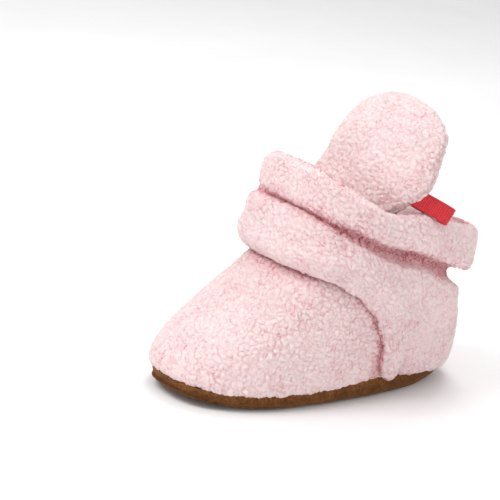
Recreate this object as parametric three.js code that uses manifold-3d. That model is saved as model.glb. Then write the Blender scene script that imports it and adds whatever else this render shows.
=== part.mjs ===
// Fleece baby bootie with a suede sole, a padded ankle wrap that closes over a tall tongue, and a
// folded side label. Millimetres, +Z up. The toe points to -Y, the heel to +Y, and the outer
// (lateral) side of the foot is +X. The origin lies on the ground under the middle of the sole.
import * as THREE from 'three';
import { ParametricGeometry } from 'three/addons/geometries/ParametricGeometry.js';
import { mergeVertices } from 'three/addons/utils/BufferGeometryUtils.js';
import Module from 'manifold-3d';

const wasm = await Module();
wasm.setup();

// ---------------------------------------------------------------- driving dimensions
const SOLE_LENGTH = 117;
const SOLE_HALF_WIDTH = 27;
const SUEDE = 1.6;
const TOE_SPRING = 3;
const TOE_SPRING_START = -25;
const SOLE_RIM_HEIGHT = 4.8;
const FLEECE = 4;
const LINING = 1.5;
const GAP = 0.35;
const ROUNDNESS = 2.5;
const TOE_WIDENING = 0.07;
const COLLAR_SLOPE = 0.3;
const COLLAR_SAG = 6;
const COLLAR_TOP = 77;
const ELASTIC_HEIGHT = 61;
const SEGMENTS = 44;

// Half width and height of the cutting shapes, which reach well past the bootie.
const WIDE = 90;
const TALL = 140;
const BELOW = -5;
const SAME_POINT = 1e-4;

// Pads inside the sole: their inset from the sole's edge and their heights.
const MIDSOLE_INSET = 5.5;
const MIDSOLE_HEIGHTS = [2.4, 4.2];
const INSOLE_FRONT_INSET = 8.5;
const INSOLE_BACK_INSET = 5.5;
const INSOLE_HALF_WIDTH = 20;
const INSOLE_HEIGHTS = [4.7, 6.2];

// The upright room for the ankle inside the wrap.
const ANKLE_FRONT_INSET = 47;
const ANKLE_BACK_INSET = 13;
const ANKLE_HALF_WIDTH = 22.5;

// The wrap: where its flaps hinge on the sides, where they end, and how its layers are stacked.
const HINGE_Y = 6;
const OUTER_FLAP_END_Y = -3;
const INNER_FLAP_END_X = 14;
const FLAP_BOTTOM = 46.4;
const INNER_FLAP = 2;
const TAPE_THICKNESS = 1;
const ELASTIC_THICKNESS = 0.8;
const ELASTIC_HALF_WIDTH = 3;
const ELASTIC_END_X = -14;
const TAPE_FRONT = -15;
const TAPE_BOTTOM = 52;
const TAPE_TOP = 68;
const LINING_BELOW_COLLAR = 3;
const INNER_FLAP_BELOW_COLLAR = 4;

// The tongue: it stands on the throat and leans back. It is widest and thickest where its round
// crown starts.
const THROAT_Y = -7;
const THROAT_Z = 43.5;
const TONGUE_HEIGHT = 68;
const TONGUE_HALF_WIDTH = 27;
const TONGUE_BASE_HALF_WIDTH = 14;
const TONGUE_HALF_THICKNESS = 7.5;
const TONGUE_BASE_HALF_THICKNESS = 4.5;
const TONGUE_LEAN = THREE.MathUtils.degToRad(33);
const TONGUE_CROWN_START = 0.62;
const TONGUE_CURL = 3;
const TONGUE_SKIN = 2.4;
const TONGUE_SEAM_Y = -0.6;
const LABEL_HEIGHT = 7;
const LABEL_REACH = 15;
const LABEL_START = 26;
const LABEL_PLACE = 32;
const LABEL_Y = 3.5;
const LABEL_RIBBON = 0.6;
const LABEL_SLIT = 0.5;

// ---------------------------------------------------------------- colours
const PINK = 0xf7dfe2;
const LINING_PINK = 0xf2d3d8;
const SUEDE_BROWN = 0x78461e;
const FOAM = 0xf3efe6;
const BATTING = 0xffffff;
const THREAD = 0xe9c2c9;
const ELASTIC = 0xf4f4f2;
const TAPE = 0xf2dfe2;
const LABEL_RED = 0xdc2430;

// ---------------------------------------------------------------- level rings and lofts
// How far the toe end of the sole and the fleece next to it curl up from the ground.
function toeSpring(y, z = 0) {
  const [fadeStart, fade] = [9, 20];
  const travel = (TOE_SPRING_START - y) / (TOE_SPRING_START + SOLE_LENGTH / 2);
  const share = THREE.MathUtils.clamp(1 - (z - fadeStart) / fade, 0, 1);
  return TOE_SPRING * share * Math.max(0, travel) ** 2;
}

// One horizontal ring around the foot: how far forward, back and sideways it reaches at a height.
// A tilted ring drops towards the heel with the collar's slope, and a sagging one droops on the
// outer side.
const level = (z, front, back, halfWidth, tilt = 0, sag = 0) => (
  { z, front, back, halfWidth, tilt, sag });

const signedPower = (value, power) => Math.sign(value) * Math.abs(value) ** power;

function ringPoint(ring, turn, target = new THREE.Vector3()) {
  const angle = 2 * Math.PI * turn;
  const bend = 2 / ROUNDNESS;
  const middle = (ring.front + ring.back) / 2;
  const reach = (ring.back - ring.front) / 2;
  const y = middle + reach * signedPower(Math.sin(angle), bend);
  const widening = 1 - TOE_WIDENING * y / (SOLE_LENGTH / 2);
  const x = ring.halfWidth * widening * signedPower(Math.cos(angle), bend);
  const droop = ring.sag * COLLAR_SAG * Math.max(0, x / ring.halfWidth) ** 2;
  const slope = ring.tilt * COLLAR_SLOPE * (y - THROAT_Y);
  return target.set(x, y, ring.z + toeSpring(y, ring.z) - slope - droop);
}

const inset = (rings, depth, drop = 0) => rings.map((ring) => ({
  ...ring,
  z: ring.z - drop,
  front: ring.front + depth,
  back: ring.back - depth,
  halfWidth: ring.halfWidth - depth,
}));

function ringCentre(ring, target) {
  const middle = (ring.front + ring.back) / 2;
  return target.set(0, middle, ring.z - ring.tilt * COLLAR_SLOPE * (middle - THROAT_Y));
}

// A solid through the rings from the bottom up, with a flat fan closing each end.
function loft(rings, segments = SEGMENTS) {
  const top = rings.length + 1;
  const surface = (turn, rise, target) => {
    const index = Math.round(rise * top);
    if (index === 0) ringCentre(rings[0], target);
    else if (index === top) ringCentre(rings[top - 2], target);
    else ringPoint(rings[index - 1], turn % 1, target);
  };
  return solid(new ParametricGeometry(surface, segments, top));
}

// A closed ring around the foot: the section's points give a distance inside the base ring and a
// height, listed up the outer side and down the inner side.
function ringAround(base, section, segments = SEGMENTS) {
  const surface = (turn, along, target) => {
    const [depth, z] = section[Math.round(along * section.length) % section.length];
    const [ring] = inset([base], depth);
    ringPoint({ ...ring, z }, turn % 1, target);
  };
  return solid(new ParametricGeometry(surface, segments, section.length));
}

// ---------------------------------------------------------------- solids
function solid(geometry) {
  const bare = geometry.clone();
  bare.deleteAttribute('normal');
  bare.deleteAttribute('uv');
  const merged = mergeVertices(bare, SAME_POINT);
  const corners = merged.index.array;
  const kept = [];
  for (let i = 0; i < corners.length; i += 3) {
    const [a, b, c] = [corners[i], corners[i + 1], corners[i + 2]];
    if (a !== b && b !== c && c !== a) kept.push(a, b, c);
  }
  return new wasm.Manifold(new wasm.Mesh({
    numProp: 3,
    vertProperties: new Float32Array(merged.attributes.position.array),
    triVerts: new Uint32Array(kept),
  }));
}

function toGeometry(manifold) {
  const mesh = manifold.getMesh();
  const geometry = new THREE.BufferGeometry();
  geometry.setAttribute('position', new THREE.BufferAttribute(mesh.vertProperties, 3));
  geometry.setIndex(new THREE.BufferAttribute(mesh.triVerts, 1));
  geometry.computeVertexNormals();
  return geometry;
}

function box(xRange, yRange, zRange) {
  const [size, centre] = [new THREE.Vector3(), new THREE.Vector3()];
  const bounds = new THREE.Box3(
    new THREE.Vector3(xRange[0], yRange[0], zRange[0]),
    new THREE.Vector3(xRange[1], yRange[1], zRange[1]),
  );
  bounds.getSize(size);
  bounds.getCenter(centre);
  const geometry = new THREE.BoxGeometry(size.x, size.y, size.z);
  return solid(geometry.translate(centre.x, centre.y, centre.z));
}

// The space whose side view is the given shape, drawn with Y to the right and Z up.
function acrossFoot(points) {
  const shape = new THREE.Shape(points.map(([y, z]) => new THREE.Vector2(y, z)));
  const geometry = new THREE.ExtrudeGeometry(shape, { depth: 2 * WIDE, bevelEnabled: false });
  geometry.translate(0, 0, -WIDE);
  geometry.applyMatrix4(new THREE.Matrix4().makeBasis(
    new THREE.Vector3(0, 1, 0),
    new THREE.Vector3(0, 0, 1),
    new THREE.Vector3(1, 0, 0),
  ));
  return solid(geometry);
}

// ---------------------------------------------------------------- the foot's levels
const FRONT = -SOLE_LENGTH / 2;
const BACK = SOLE_LENGTH / 2;
const FOOTPRINT = level(0, FRONT, BACK, SOLE_HALF_WIDTH);

// Outer face of the fleece below the wrap: a round toe, a sloping instep and an upright heel.
const BODY = [
  level(4, FRONT + 2, BACK + 1, 26.5),
  level(9, FRONT, BACK + 3, 28),
  level(15, FRONT + 2, BACK + 3.5, 28.5),
  level(22, FRONT + 8, BACK + 4, 28.5),
  level(29, FRONT + 17, BACK + 3.5, 28),
  level(36, FRONT + 27, BACK + 2, 27.5),
  level(43, FRONT + 36, BACK, 27),
  level(50, FRONT + 45, BACK - 2, 26),
];

// Outer face of the wrap: a lower roll, the pinch of the elastic and the upper roll.
const WRAP = [
  level(4, FRONT + 25, BACK + 1, 26.5),
  level(9, FRONT + 26, BACK + 3, 28),
  level(20, FRONT + 30, BACK + 4, 29.5, 0.2),
  level(35, FRONT + 34, BACK + 4, 31, 0.5),
  level(45, FRONT + 35, BACK + 2, 32.5, 0.8),
  level(52, FRONT + 35, BACK, 33, 1),
  level(58, FRONT + 37, BACK - 2, 32, 1, 0.2),
  level(ELASTIC_HEIGHT, FRONT + 38, BACK - 3, 31, 1, 0.3),
  level(64, FRONT + 39, BACK, 32, 1, 0.5),
  level(69, FRONT + 39, BACK + 3.5, 33, 1, 0.7),
  level(74, FRONT + 41, BACK + 2, 32, 1, 0.9),
  level(COLLAR_TOP, FRONT + 45, BACK - 4, 28, 1, 1),
];

// The ankle's room goes straight up inside the wrap; an outset gives the faces around it.
function ankleRoom(outset) {
  const wall = [
    FRONT + ANKLE_FRONT_INSET - outset,
    BACK - ANKLE_BACK_INSET + outset,
    ANKLE_HALF_WIDTH + outset,
  ];
  return loft([level(0, ...wall), level(TALL, ...wall)]);
}

// The whole room for the foot and ankle, grown outwards by an outset.
const FOOT_WALL = FLEECE + GAP + LINING;
function footRoom(outset) {
  const rings = inset(BODY, FOOT_WALL - outset);
  const top = rings.at(-1);
  return loft([...rings, { ...top, z: top.z + outset }]).add(ankleRoom(outset));
}

const layer = (inner, outer) => ankleRoom(outer).subtract(ankleRoom(inner));

// ---------------------------------------------------------------- cutting lines seen from the side
// Where the wrap and quarters meet the vamp: level over the instep, then down to the sole.
const SEAM = [[-40, 46], [-9, 46], [-1, 42], [7, 34], [12.5, 22], [12, 5], [12, BELOW]];
const seamShift = (shift) => SEAM.map(([y, z]) => [y + shift, z + shift]);
const SEAM_START_Z = SEAM[0][1];
const behindSeam = acrossFoot([
  ...seamShift(GAP / 2),
  [TALL, BELOW],
  [TALL, TALL],
  [-WIDE, TALL],
  [-WIDE, SEAM_START_Z + GAP],
]);
const beforeSeam = acrossFoot([
  ...seamShift(-GAP / 2),
  [-WIDE, BELOW],
  [-WIDE, SEAM_START_Z - GAP],
]);
const RIM_STEP = 5;
const RIM_STEPS = 12;
const rimSteps = Array.from(
  { length: RIM_STEPS },
  (_, index) => TOE_SPRING_START - RIM_STEP * index,
).reverse();
const aboveSole = acrossFoot([
  ...rimSteps.map((y) => [y, SOLE_RIM_HEIGHT + GAP + toeSpring(y)]),
  [WIDE, SOLE_RIM_HEIGHT + GAP],
  [WIDE, TALL],
  [rimSteps[0], TALL],
]);
const wrapZone = behindSeam.intersect(aboveSole);

// A band across the foot between two heights that drops towards the heel with the collar.
function slopingBand(low, high) {
  const drop = (y) => COLLAR_SLOPE * (y - THROAT_Y);
  const corner = (y, z) => [y, z - drop(y)];
  return acrossFoot([
    corner(-WIDE, low),
    corner(WIDE, low),
    corner(WIDE, high),
    corner(-WIDE, high),
  ]);
}

// The three parts of the wrap, seen from above: behind the hinge lines, and the two flaps.
const backZone = wrapZone.intersect(
  box([-WIDE, WIDE], [HINGE_Y + GAP / 2, WIDE], [0, TALL])
    .add(box([-WIDE, WIDE], [-WIDE, WIDE], [0, FLAP_BOTTOM - GAP])),
);
const frontZone = box([-WIDE, WIDE], [-WIDE, HINGE_Y - GAP / 2], [FLAP_BOTTOM, TALL]);
const innerRoot = box([-WIDE, 0], [OUTER_FLAP_END_Y + GAP / 2, WIDE], [0, TALL]);
const INNER_REACH_Y = OUTER_FLAP_END_Y + 1;
const innerReach = box([-WIDE, INNER_FLAP_END_X], [-WIDE, INNER_REACH_Y], [0, TALL]);
const outerReach = box([-WIDE, WIDE], [-WIDE, OUTER_FLAP_END_Y - GAP / 2], [0, TALL])
  .add(box([0, WIDE], [-WIDE, WIDE], [0, TALL]));

// ---------------------------------------------------------------- sole pieces
function makeOutsole() {
  return ovalMarks().reduce((sole, mark) => sole.subtract(mark), makeTray());
}

// A shallow dish of suede: flat where it rests, with its edge turned up all round.
function makeTray() {
  const edge = ([depth, z]) => ({ ...inset([FOOTPRINT], depth)[0], z });
  const flat = (z, margin) => (
    level(z, TOE_SPRING_START + 2, BACK - margin, SOLE_HALF_WIDTH - margin));
  const outerEdge = [[3, 0.6], [0.6, 2.8], [0, SOLE_RIM_HEIGHT]];
  const innerEdge = [[4.5, SUEDE + 0.6], [SUEDE, SOLE_RIM_HEIGHT + 1]];
  const outside = loft([flat(0, 5), ...outerEdge.map(edge)]);
  const inside = loft([flat(SUEDE, 7), ...innerEdge.map(edge)]);
  return outside.subtract(inside);
}

// Shallow embossed ovals along the middle of the flat of the sole.
function ovalMarks() {
  const [count, pitch, middle, depth, sides] = [4, 16, 15, 0.4, 20];
  const [halfWidth, halfLength] = [11, 5];
  return Array.from({ length: count }, (_, index) => {
    const oval = new THREE.CylinderGeometry(1, 1, 2 * depth, sides);
    oval.rotateX(Math.PI / 2);
    oval.scale(halfWidth, halfLength, 1);
    oval.translate(0, middle + (index - (count - 1) / 2) * pitch, 0);
    return solid(oval);
  });
}

const flatPad = (ring, heights) => loft(heights.map((z) => ({ ...ring, z })));
const makeMidsole = () => flatPad(inset([FOOTPRINT], MIDSOLE_INSET)[0], MIDSOLE_HEIGHTS);
const INSOLE_RING = level(
  0,
  FRONT + INSOLE_FRONT_INSET,
  BACK - INSOLE_BACK_INSET,
  INSOLE_HALF_WIDTH,
);

function soleThread() {
  const [depth, z, radius, sides] = [4.1, 4.4, 0.4, 6];
  const section = Array.from({ length: sides }, (_, index) => {
    const angle = 2 * Math.PI * index / sides - Math.PI / 2;
    return [depth - radius * Math.cos(angle), z + radius * Math.sin(angle)];
  });
  return ringAround(FOOTPRINT, section);
}

// ---------------------------------------------------------------- vamp
const vampZone = beforeSeam.intersect(aboveSole);
const makeVampShell = () => loft(BODY).subtract(loft(inset(BODY, FLEECE))).intersect(vampZone);
const makeVampLining = () => loft(inset(BODY, FLEECE + GAP))
  .subtract(loft(inset(BODY, FOOT_WALL)))
  .intersect(vampZone);

// ---------------------------------------------------------------- wrap and quarters
const wrapSolid = loft(WRAP);
const liningTop = slopingBand(0, COLLAR_TOP - LINING_BELOW_COLLAR - COLLAR_SAG / 2);

// The elastic lies in a channel on the inner side of the shell, along the pinch.
const elasticHeights = (spare) => slopingBand(
  ELASTIC_HEIGHT - ELASTIC_HALF_WIDTH - spare,
  ELASTIC_HEIGHT + ELASTIC_HALF_WIDTH + spare,
);
const elasticBand = (face) => footRoom(face + ELASTIC_THICKNESS)
  .subtract(footRoom(face))
  .intersect(elasticHeights(0));
const elasticChannel = (face) => footRoom(face + ELASTIC_THICKNESS + GAP)
  .intersect(elasticHeights(GAP));

// Behind the hinge lines: fleece quarters with a centre back seam over one lining.
const BACK_FACE = LINING + GAP;
const quarterShell = wrapSolid.subtract(footRoom(BACK_FACE))
  .subtract(elasticChannel(BACK_FACE))
  .intersect(backZone);
const lateralHalf = box([GAP / 2, WIDE], [-WIDE, WIDE], [0, TALL]);
const medialHalf = box([-WIDE, -GAP / 2], [-WIDE, WIDE], [0, TALL]);
const makeQuarterLining = () => footRoom(LINING).subtract(footRoom(0))
  .intersect(backZone)
  .intersect(liningTop);

// The inner flap is thin where the outer flap covers it and full at its root.
const INNER_SHELL_FACE = LINING + GAP;
const INNER_OUTSIDE = INNER_SHELL_FACE + INNER_FLAP;
const innerCover = slopingBand(0, COLLAR_TOP - INNER_FLAP_BELOW_COLLAR - COLLAR_SAG / 2);
const makeInnerLining = () => layer(0, LINING)
  .intersect(innerReach.add(innerRoot))
  .intersect(frontZone)
  .intersect(innerCover);
const makeInnerShell = () => ankleRoom(INNER_OUTSIDE).intersect(innerReach).intersect(innerCover)
  .add(wrapSolid.intersect(innerRoot))
  .subtract(ankleRoom(INNER_SHELL_FACE))
  .intersect(frontZone);

// Hook and loop tapes face each other between the flaps, at the outer flap's free end.
const LOOP_FACE = INNER_OUTSIDE + GAP;
const HOOK_FACE = LOOP_FACE + TAPE_THICKNESS + GAP;
const TAPE_POCKET = HOOK_FACE + TAPE_THICKNESS + GAP;
const TAPE_BACK = OUTER_FLAP_END_Y - 2;
const tapeWindow = box([-WIDE, 0], [TAPE_FRONT, TAPE_BACK], [TAPE_BOTTOM, TAPE_TOP]);
const makeLoopTape = () => layer(LOOP_FACE, LOOP_FACE + TAPE_THICKNESS).intersect(tapeWindow);
const makeHookTape = () => layer(HOOK_FACE, HOOK_FACE + TAPE_THICKNESS).intersect(tapeWindow);
const tapePocket = ankleRoom(TAPE_POCKET)
  .intersect(box([-WIDE, 0], [TAPE_FRONT - GAP, WIDE], [TAPE_BOTTOM - GAP, TAPE_TOP + GAP]));

// The outer flap lies over the inner one, from the outer side round to the inner side.
const BED = INNER_OUTSIDE + GAP;
const OUTER_SHELL_FACE = BED + LINING + GAP;
const outerZone = frontZone.intersect(outerReach);
const makeOuterLining = () => layer(BED, BED + LINING)
  .intersect(outerZone)
  .intersect(liningTop)
  .subtract(tapePocket);
const makeOuterShell = () => wrapSolid.subtract(ankleRoom(OUTER_SHELL_FACE))
  .subtract(elasticChannel(OUTER_SHELL_FACE))
  .subtract(tapePocket)
  .intersect(outerZone);

const makeOuterElastic = () => elasticBand(OUTER_SHELL_FACE)
  .intersect(outerZone)
  .intersect(box([ELASTIC_END_X, WIDE], [-WIDE, WIDE], [0, TALL]));

// ---------------------------------------------------------------- tongue and label
// A padded lobe: narrow at the throat, round at the top and curved around the shin. It stands on
// its own origin, with its front to -Y.
function tongueSolid(depth) {
  const { lerp } = THREE.MathUtils;
  const [stations, sides] = [9, 32];
  const [climbPower, spreadPower, crownPower, edgeFullness] = [1.5, 2.2, 2.2, 1.6];
  const height = TONGUE_HEIGHT - 2 * depth;
  const surface = (turn, rise, target) => {
    const angle = 2 * Math.PI * (turn % 1);
    const climb = 1 - (1 - rise) ** climbPower;
    const spread = Math.min(1, climb / TONGUE_CROWN_START);
    const wide = lerp(TONGUE_BASE_HALF_WIDTH, TONGUE_HALF_WIDTH, spread ** spreadPower);
    const thick = lerp(TONGUE_BASE_HALF_THICKNESS, TONGUE_HALF_THICKNESS, spread);
    const over = Math.max(0, climb - TONGUE_CROWN_START) / (1 - TONGUE_CROWN_START);
    const dome = rise === 0 ? 0 : Math.sqrt(Math.max(0, 1 - over ** crownPower));
    const x = (wide - depth) * dome * Math.cos(angle);
    const thickness = (thick - depth) * Math.min(1, edgeFullness * dome);
    const curl = TONGUE_CURL * (x / TONGUE_HALF_WIDTH) ** 2;
    target.set(x, thickness * Math.sin(angle) + curl, depth + height * climb);
  };
  return solid(new ParametricGeometry(surface, sides, stations));
}

const tongueSkin = tongueSolid(0).subtract(tongueSolid(TONGUE_SKIN));
const makeTongueFront = () => tongueSkin
  .intersect(box([-WIDE, WIDE], [-WIDE, TONGUE_SEAM_Y], [BELOW, TALL]));
const makeTongueBack = () => tongueSkin
  .intersect(box([-WIDE, WIDE], [TONGUE_SEAM_Y + GAP, WIDE], [BELOW, TALL]));
const makeTongueBatting = () => tongueSolid(TONGUE_SKIN + GAP);

// A ribbon folded into a loop, sewn into the tongue's side seam by its two ends.
function makeLabel() {
  const inner = LABEL_SLIT / 2;
  const outer = LABEL_RIBBON + inner;
  const bend = LABEL_START + LABEL_REACH - outer;
  const outline = new THREE.Shape();
  outline.moveTo(LABEL_START, -outer);
  outline.lineTo(bend, -outer);
  outline.absarc(bend, 0, outer, -Math.PI / 2, Math.PI / 2, false);
  outline.lineTo(LABEL_START, outer);
  outline.lineTo(LABEL_START, inner);
  outline.lineTo(bend, inner);
  outline.absarc(bend, 0, inner, Math.PI / 2, -Math.PI / 2, true);
  outline.lineTo(LABEL_START, -inner);
  outline.closePath();
  const ribbonLoop = new THREE.ExtrudeGeometry(outline, {
    depth: LABEL_HEIGHT,
    bevelEnabled: false,
    curveSegments: 6,
  });
  return solid(ribbonLoop.translate(0, LABEL_Y, LABEL_PLACE));
}

// ---------------------------------------------------------------- assembly
const bootie = new THREE.Group();
const tongue = new THREE.Group();
tongue.position.set(0, THROAT_Y, THROAT_Z);
tongue.rotation.x = -TONGUE_LEAN;
bootie.add(tongue);

function add(parent, name, manifold, colour, roughness = 0.9) {
  const material = new THREE.MeshStandardMaterial({ color: colour, roughness, metalness: 0 });
  const mesh = new THREE.Mesh(toGeometry(manifold), material);
  mesh.name = name;
  parent.add(mesh);
}

add(bootie, 'outsole', makeOutsole(), SUEDE_BROWN, 0.95);
add(bootie, 'midsole_pad', makeMidsole(), FOAM);
add(bootie, 'insole', flatPad(INSOLE_RING, INSOLE_HEIGHTS), LINING_PINK);
add(bootie, 'sole_seam_thread', soleThread(), THREAD);
add(bootie, 'vamp_shell', makeVampShell(), PINK);
add(bootie, 'vamp_lining', makeVampLining(), LINING_PINK);
add(bootie, 'quarter_lateral', quarterShell.intersect(lateralHalf), PINK);
add(bootie, 'quarter_medial', quarterShell.intersect(medialHalf), PINK);
add(bootie, 'quarter_lining', makeQuarterLining(), LINING_PINK);
add(bootie, 'back_elastic', elasticBand(BACK_FACE).intersect(backZone), ELASTIC);
add(bootie, 'outer_flap_shell', makeOuterShell(), PINK);
add(bootie, 'outer_flap_lining', makeOuterLining(), LINING_PINK);
add(bootie, 'outer_flap_elastic', makeOuterElastic(), ELASTIC);
add(bootie, 'hook_tape', makeHookTape(), TAPE);
add(bootie, 'inner_flap_shell', makeInnerShell(), PINK);
add(bootie, 'inner_flap_lining', makeInnerLining(), LINING_PINK);
add(bootie, 'loop_tape', makeLoopTape(), TAPE);
add(tongue, 'tongue_front', makeTongueFront(), PINK);
add(tongue, 'tongue_back', makeTongueBack(), LINING_PINK);
add(tongue, 'tongue_batting', makeTongueBatting(), BATTING);
add(tongue, 'side_label', makeLabel(), LABEL_RED, 0.7);

export default bootie;
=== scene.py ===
import math

import bmesh
import bpy
import numpy as np
from mathutils import Matrix, Vector


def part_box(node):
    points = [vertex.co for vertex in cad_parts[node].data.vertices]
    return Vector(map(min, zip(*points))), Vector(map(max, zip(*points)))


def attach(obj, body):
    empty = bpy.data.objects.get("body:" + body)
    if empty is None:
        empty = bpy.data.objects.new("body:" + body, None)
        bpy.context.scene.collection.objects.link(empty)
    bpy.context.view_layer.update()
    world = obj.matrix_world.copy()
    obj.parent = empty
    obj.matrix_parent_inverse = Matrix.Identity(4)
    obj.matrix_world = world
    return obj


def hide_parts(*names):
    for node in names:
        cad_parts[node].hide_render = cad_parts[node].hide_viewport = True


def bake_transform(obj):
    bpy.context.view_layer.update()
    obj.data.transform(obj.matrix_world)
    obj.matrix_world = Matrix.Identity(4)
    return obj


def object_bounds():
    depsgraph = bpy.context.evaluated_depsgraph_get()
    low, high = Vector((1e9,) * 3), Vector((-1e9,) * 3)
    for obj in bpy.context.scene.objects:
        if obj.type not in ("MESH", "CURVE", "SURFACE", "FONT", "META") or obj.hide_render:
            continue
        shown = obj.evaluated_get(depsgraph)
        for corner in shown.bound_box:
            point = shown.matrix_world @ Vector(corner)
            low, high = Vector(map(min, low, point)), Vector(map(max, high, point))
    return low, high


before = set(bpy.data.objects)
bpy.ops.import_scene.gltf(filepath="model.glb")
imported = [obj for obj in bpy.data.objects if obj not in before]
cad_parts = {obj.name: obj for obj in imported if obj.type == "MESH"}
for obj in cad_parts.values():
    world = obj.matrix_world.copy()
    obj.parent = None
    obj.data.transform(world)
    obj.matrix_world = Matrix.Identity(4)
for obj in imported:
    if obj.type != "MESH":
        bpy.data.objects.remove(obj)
cad_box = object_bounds()

MM = 0.001
FRONT, BACK = (corner[1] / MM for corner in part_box("outsole"))
SOLE_HALF_WIDTH = 27.0
TOE_SPRING = 3.0
TOE_SPRING_START = -25.0
ROUNDNESS = 2.5  # the power of every superellipse
TOE_WIDENING = 0.07
COLLAR_SLOPE = 0.3  # the drop of the collar for each millimetre towards the heel
COLLAR_SAG = 6.0
THROAT = np.array([0.0, -7.0, 43.5])
TONGUE_LEAN = np.array(Matrix.Rotation(math.radians(-33), 3, "X"))
ELASTIC_HEIGHT = 61.0
FLEECE_LOW = 4.0
FLEECE_CELL = 2.0
FLEECE_PILE = 0.72
SHALLOW_CREVICE = 0.34  # the curl value in the deepest crevice, where the painted crevice shade is darkest
FINE_STEP = 0.52


# ---------------------------------------------------------------- noise
def cell_random(cells, seed, channel):
    """A repeatable number from 0 to 1 for every whole-numbered cell."""
    mixed = cells[..., 0] * 73856093 ^ cells[..., 1] * 19349663 ^ cells[..., 2] * 83492791
    mixed = (mixed ^ (seed * 7919 + channel * 104729)) & 0xFFFFFFFF
    for multiplier, shift in ((2246822519, 15), (3266489917, 13), (668265263, 16)):
        mixed = ((mixed ^ (mixed >> shift)) * multiplier) & 0xFFFFFFFF
    return (mixed ^ (mixed >> 14)) / 2.0 ** 32


def value_noise(points, size, seed):
    """Smooth noise from -1 to 1 with features of the given size."""
    scaled = points / size
    base = np.floor(scaled).astype(np.int64)
    part = scaled - base
    part = part * part * (3 - 2 * part)
    total = np.zeros(len(points))
    for corner in np.ndindex(2, 2, 2):
        weight = np.ones(len(points))
        for axis in range(3):
            weight *= part[:, axis] if corner[axis] else 1 - part[:, axis]
        total += weight * cell_random(base + np.array(corner), seed, 0)
    return 2 * total - 1


def nearest_cells(points, size, seed):
    """Distances, in cells, to the nearest and the second nearest scattered cell centre."""
    scaled = points / size
    base = np.floor(scaled).astype(np.int64)
    first = np.full(len(points), 9.0)
    second = np.full(len(points), 9.0)
    for step in np.ndindex(3, 3, 3):
        cells = base + np.array(step) - 1
        centre = np.stack([cell_random(cells, seed, axis) for axis in range(3)], axis=1) + cells
        distance = np.linalg.norm(centre - scaled, axis=1)
        second = np.minimum(second, np.maximum(first, distance))
        first = np.minimum(first, distance)
    return first, second


def grid_noise(grid, size, seed):
    return value_noise(grid.reshape(-1, 3), size, seed).reshape(grid.shape[:-1])


def smoothstep(low, high, value):
    share = np.clip((value - low) / (high - low), 0, 1)
    return share * share * (3 - 2 * share)


def noise_vector(points, size, seed):
    return np.stack([value_noise(points, size, seed + axis) for axis in range(3)], axis=1)


def fleece_relief(points, seed):
    """Height of curly fleece over its backing, from about -1 to 1, and how far out of a crevice
    each point is, from 0 to 1."""
    warped = points + 0.9 * noise_vector(points, 2.6, seed) \
        + 0.35 * noise_vector(points, 1.1, seed + 3)
    first, second = nearest_cells(warped, FLEECE_CELL, seed)
    fine_first, fine_second = nearest_cells(warped + 11.3, 0.5 * FLEECE_CELL, seed + 5)
    gap = smoothstep(0.0, 0.3, second - first)
    fine_gap = smoothstep(0.0, 0.35, fine_second - fine_first)
    open_pile = 0.72 + 0.28 * smoothstep(-0.6, 0.6, value_noise(points, 5.5, seed + 8))
    round_top = np.sqrt(np.clip(1 - (first / 0.95) ** 2, 0, 1))
    clump = value_noise(points, 6.5, seed + 9)
    height = (0.55 * gap * open_pile + 0.42 * round_top + 0.26 * fine_gap
              + 0.3 * clump - 0.72)
    crevice = (0.75 * (1 - gap) + 0.25 * (1 - fine_gap)) * open_pile
    return height, SHALLOW_CREVICE + (1 - SHALLOW_CREVICE) * np.clip(1 - crevice, 0, 1)


# ---------------------------------------------------------------- rings and grids
def toe_spring(y, z):
    """How far the toe end curls up from the ground, fading out from 9 to 29 mm up."""
    share = np.clip(1 - (z - 9) / 20, 0, 1)
    travel = np.maximum(0, (TOE_SPRING_START - y) / (TOE_SPRING_START - FRONT))
    return TOE_SPRING * share * travel ** 2


def smooth_table(knots, table, at):
    """Rows of a table interpolated by a smooth curve through every row."""
    slopes = np.gradient(table, knots, axis=0)
    index = np.clip(np.searchsorted(knots, at) - 1, 0, len(knots) - 2)
    width = knots[index + 1] - knots[index]
    t = ((at - knots[index]) / width)[..., None]
    width = width[..., None]
    low, high = table[index], table[index + 1]
    return ((2 * t ** 3 - 3 * t ** 2 + 1) * low + (t ** 3 - 2 * t ** 2 + t) * width * slopes[index]
            + (3 * t ** 2 - 2 * t ** 3) * high + (t ** 3 - t ** 2) * width * slopes[index + 1])


def signed_power(value, power):
    return np.sign(value) * np.abs(value) ** power


def foot_rings(*rows):
    """A table of rings: height, front, back, half width, tilt and sag. The front and back are
    given from the ends of the sole, and tilt and sag may be left out."""
    table = np.array([(*row, 0, 0)[:6] for row in rows], dtype=float)
    return table + (0, FRONT, BACK, 0, 0, 0)


def superellipse(front, back, half, angle):
    """Level rings around the foot, a little wider at the toe than at the heel."""
    bend = 2 / ROUNDNESS
    y = (front + back) / 2 + (back - front) / 2 * signed_power(np.sin(angle), bend)
    x = half * (1 - TOE_WIDENING * y / BACK) * signed_power(np.cos(angle), bend)
    return x, y


def ring_points(rings, angle, height):
    """Points on the surface through a table of rings, at angles and heights."""
    row = smooth_table(rings[:, 0], rings, height)
    z, front, back, half, tilt, sag = np.moveaxis(row, -1, 0)
    x, y = superellipse(front, back, half, angle)
    droop = sag * COLLAR_SAG * np.maximum(0, x / half) ** 2 * (1 - 0.9 * smoothstep(2, 22, y))
    slope = tilt * COLLAR_SLOPE * (y - THROAT[1])
    return np.stack([x, y, z + toe_spring(y, z) - slope - droop], axis=-1)


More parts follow.
